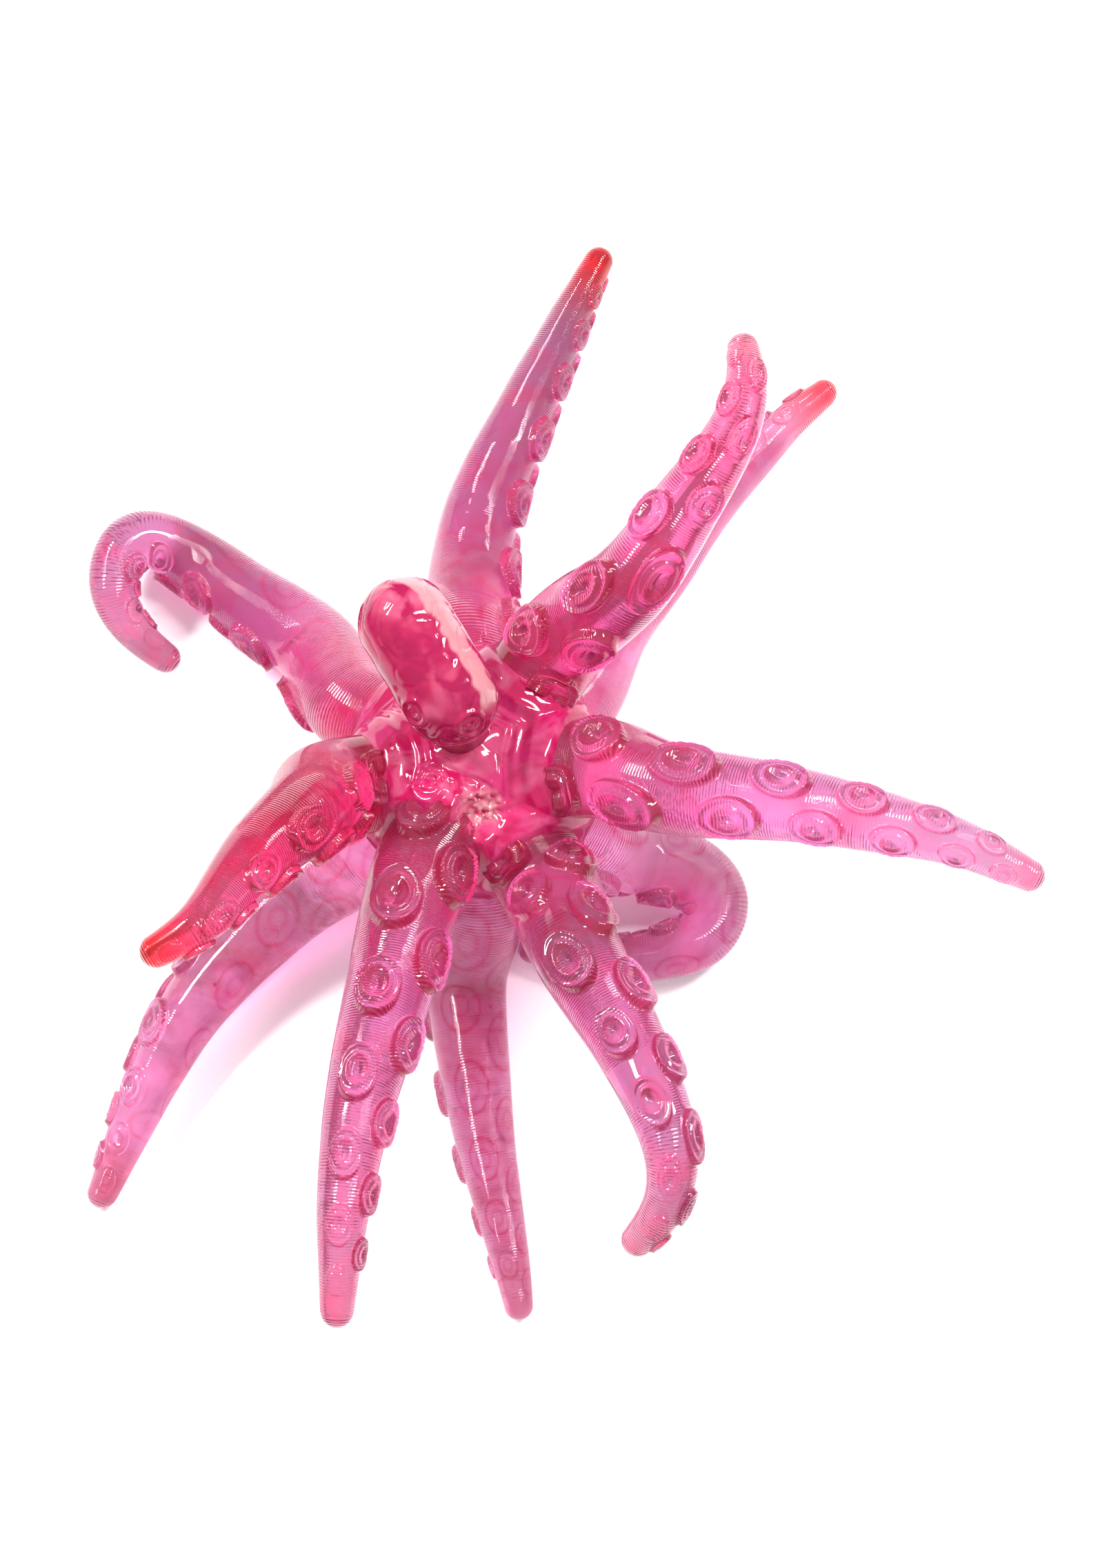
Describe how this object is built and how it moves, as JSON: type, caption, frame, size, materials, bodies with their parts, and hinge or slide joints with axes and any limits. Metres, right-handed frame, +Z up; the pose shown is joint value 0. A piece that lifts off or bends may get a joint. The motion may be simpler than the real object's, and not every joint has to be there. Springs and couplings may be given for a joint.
{
  "type": "toy octopus",
  "caption": "Glossy clear pink rubber toy octopus with a capsule-shaped head and many tapering, suckered arms that spring back.",
  "frame": {"origin": "on the floor, straight below the centre of the hub", "axes": "+Z up, +Y towards the long lower arm behind the head, +X to its right"},
  "size_m": [0.1577, 0.1959, 0.0795],
  "materials": {
    "pink_rubber": "glossy",
    "deep_pink_rubber": "glossy"
  },
  "bodies": {
    "hub": {"hub": "deep_pink_rubber"},
    "head": {"head": "deep_pink_rubber"},
    "upper_arm_1_base": {"upper_arm_1_base": "pink_rubber"},
    "upper_arm_1_tip": {"upper_arm_1_tip": "pink_rubber"},
    "upper_arm_2_base": {"upper_arm_2_base": "pink_rubber"},
    "upper_arm_2_tip": {"upper_arm_2_tip": "pink_rubber"},
    "upper_arm_3_base": {"upper_arm_3_base": "pink_rubber"},
    "upper_arm_3_tip": {"upper_arm_3_tip": "pink_rubber"},
    "upper_arm_4_base": {"upper_arm_4_base": "pink_rubber"},
    "upper_arm_4_tip": {"upper_arm_4_tip": "pink_rubber"},
    "upper_arm_5_base": {"upper_arm_5_base": "pink_rubber"},
    "upper_arm_5_tip": {"upper_arm_5_tip": "pink_rubber"},
    "lower_arm_1_base": {"lower_arm_1_base": "pink_rubber"},
    "lower_arm_1_tip": {"lower_arm_1_tip": "pink_rubber"},
    "lower_arm_2_base": {"lower_arm_2_base": "pink_rubber"},
    "lower_arm_2_tip": {"lower_arm_2_tip": "pink_rubber"},
    "lower_arm_3_base": {"lower_arm_3_base": "pink_rubber"},
    "lower_arm_3_tip": {"lower_arm_3_tip": "pink_rubber"},
    "lower_arm_4_base": {"lower_arm_4_base": "pink_rubber"},
    "lower_arm_4_tip": {"lower_arm_4_tip": "pink_rubber"},
    "lower_arm_5_base": {"lower_arm_5_base": "pink_rubber"},
    "lower_arm_5_tip": {"lower_arm_5_tip": "pink_rubber"},
    "lower_arm_6_base": {"lower_arm_6_base": "pink_rubber"},
    "lower_arm_6_tip": {"lower_arm_6_tip": "pink_rubber"}
  },
  "joints": [
    {"name": "head_nod", "type": "hinge", "parent": "hub", "child": "head", "pos_m": [-0.00165, 0.00286, 0.04231], "axis": [0.848, 0.5299, 0], "range_deg": [-10, 12], "stiffness_Nm_per_rad": 0.3},
    {"name": "upper_arm_1_swing", "type": "hinge", "parent": "hub", "child": "upper_arm_1_base", "pos_m": [0.00668, 0.00919, 0.03579], "axis": [0.809, -0.5878, 0], "range_deg": [-8, 10], "stiffness_Nm_per_rad": 0.4},
    {"name": "upper_arm_1_bend", "type": "hinge", "parent": "upper_arm_1_base", "child": "upper_arm_1_tip", "pos_m": [0.02975, 0.02913, 0.06325], "axis": [0.796, -0.6053, 0], "range_deg": [-30, 30], "stiffness_Nm_per_rad": 0.1},
    {"name": "upper_arm_2_swing", "type": "hinge", "parent": "hub", "child": "upper_arm_2_base", "pos_m": [-0.01151, -0.00266, 0.03478], "axis": [-0.225, 0.9744, 0], "range_deg": [-8, 10], "stiffness_Nm_per_rad": 0.4},
    {"name": "upper_arm_2_bend", "type": "hinge", "parent": "upper_arm_2_base", "child": "upper_arm_2_tip", "pos_m": [-0.02871, -0.01599, 0.06059], "axis": [-0.7731, 0.6343, 0], "range_deg": [-30, 30], "stiffness_Nm_per_rad": 0.1},
    {"name": "upper_arm_3_swing", "type": "hinge", "parent": "hub", "child": "upper_arm_3_base", "pos_m": [-0.00422, -0.00995, 0.03675], "axis": [-0.9205, 0.3907, 0], "range_deg": [-8, 10], "stiffness_Nm_per_rad": 0.4},
    {"name": "upper_arm_3_bend", "type": "hinge", "parent": "upper_arm_3_base", "child": "upper_arm_3_tip", "pos_m": [-0.0151, -0.05075, 0.05849], "axis": [-0.9752, 0.2212, 0], "range_deg": [-30, 30], "stiffness_Nm_per_rad": 0.1},
    {"name": "upper_arm_4_swing", "type": "hinge", "parent": "hub", "child": "upper_arm_4_base", "pos_m": [0.00616, -0.01066, 0.0333], "axis": [-0.866, -0.5, 0], "range_deg": [-8, 10], "stiffness_Nm_per_rad": 0.4},
    {"name": "upper_arm_4_bend", "type": "hinge", "parent": "upper_arm_4_base", "child": "upper_arm_4_tip", "pos_m": [0.02227, -0.04559, 0.0595], "axis": [-0.8906, -0.4548, 0], "range_deg": [-30, 30], "stiffness_Nm_per_rad": 0.1},
    {"name": "upper_arm_5_swing", "type": "hinge", "parent": "hub", "child": "upper_arm_5_base", "pos_m": [0.01096, -0.00135, 0.03637], "axis": [-0.1219, -0.9925, 0], "range_deg": [-8, 10], "stiffness_Nm_per_rad": 0.4},
    {"name": "upper_arm_5_bend", "type": "hinge", "parent": "upper_arm_5_base", "child": "upper_arm_5_tip", "pos_m": [0.04895, -0.01185, 0.05982], "axis": [-0.2282, -0.9736, 0], "range_deg": [-30, 30], "stiffness_Nm_per_rad": 0.1},
    {"name": "lower_arm_1_swing", "type": "hinge", "parent": "hub", "child": "lower_arm_1_base", "pos_m": [0.00803, 0.00723, 0.02325], "axis": [0.6691, -0.7431, 0], "range_deg": [-6, 10], "stiffness_Nm_per_rad": 0.4},
    {"name": "lower_arm_1_bend", "type": "hinge", "parent": "lower_arm_1_base", "child": "lower_arm_1_tip", "pos_m": [0.03273, 0.04329, 0.00584], "axis": [0.814, -0.5809, 0], "range_deg": [-30, 30], "stiffness_Nm_per_rad": 0.1},
    {"name": "lower_arm_2_swing", "type": "hinge", "parent": "hub", "child": "lower_arm_2_base", "pos_m": [-0.00105, 0.01201, 0.02585], "axis": [0.9962, 0.0872, 0], "range_deg": [-6, 10], "stiffness_Nm_per_rad": 0.4},
    {"name": "lower_arm_2_bend", "type": "hinge", "parent": "lower_arm_2_base", "child": "lower_arm_2_tip", "pos_m": [0.00211, 0.05792, 0.00616], "axis": [0.936, -0.3519, 0], "range_deg": [-30, 30], "stiffness_Nm_per_rad": 0.1},
    {"name": "lower_arm_3_swing", "type": "hinge", "parent": "hub", "child": "lower_arm_3_base", "pos_m": [-0.0102, 0.00613, 0.02543], "axis": [0.515, 0.8572, 0], "range_deg": [-6, 10], "stiffness_Nm_per_rad": 0.4},
    {"name": "lower_arm_3_bend", "type": "hinge", "parent": "lower_arm_3_base", "child": "lower_arm_3_tip", "pos_m": [-0.04119, 0.03615, 0.00643], "axis": [0.6173, 0.7868, 0], "range_deg": [-30, 30], "stiffness_Nm_per_rad": 0.1},
    {"name": "lower_arm_4_swing", "type": "hinge", "parent": "hub", "child": "lower_arm_4_base", "pos_m": [-0.00916, -0.00551, 0.02306], "axis": [-0.515, 0.8572, 0], "range_deg": [-6, 10], "stiffness_Nm_per_rad": 0.4},
    {"name": "lower_arm_4_bend", "type": "hinge", "parent": "lower_arm_4_base", "child": "lower_arm_4_tip", "pos_m": [-0.04463, -0.03112, 0.00609], "axis": [-0.7701, 0.6379, 0], "range_deg": [-30, 30], "stiffness_Nm_per_rad": 0.1},
    {"name": "lower_arm_5_swing", "type": "hinge", "parent": "hub", "child": "lower_arm_5_base", "pos_m": [0.00019, -0.01069, 0.02306], "axis": [-0.9998, -0.0175, 0], "range_deg": [-6, 10], "stiffness_Nm_per_rad": 0.4},
    {"name": "lower_arm_5_bend", "type": "hinge", "parent": "lower_arm_5_base", "child": "lower_arm_5_tip", "pos_m": [-0.00029, -0.0495, 0.00602], "axis": [-0.9913, -0.1314, 0], "range_deg": [-30, 30], "stiffness_Nm_per_rad": 0.1},
    {"name": "lower_arm_6_swing", "type": "hinge", "parent": "hub", "child": "lower_arm_6_base", "pos_m": [0.00969, -0.00452, 0.02306], "axis": [-0.4226, -0.9063, 0], "range_deg": [-6, 10], "stiffness_Nm_per_rad": 0.4},
    {"name": "lower_arm_6_bend", "type": "hinge", "parent": "lower_arm_6_base", "child": "lower_arm_6_tip", "pos_m": [0.03045, -0.02725, 0.00438], "axis": [0, 0, 1], "range_deg": [-8, 30], "stiffness_Nm_per_rad": 0.1}
  ]
}
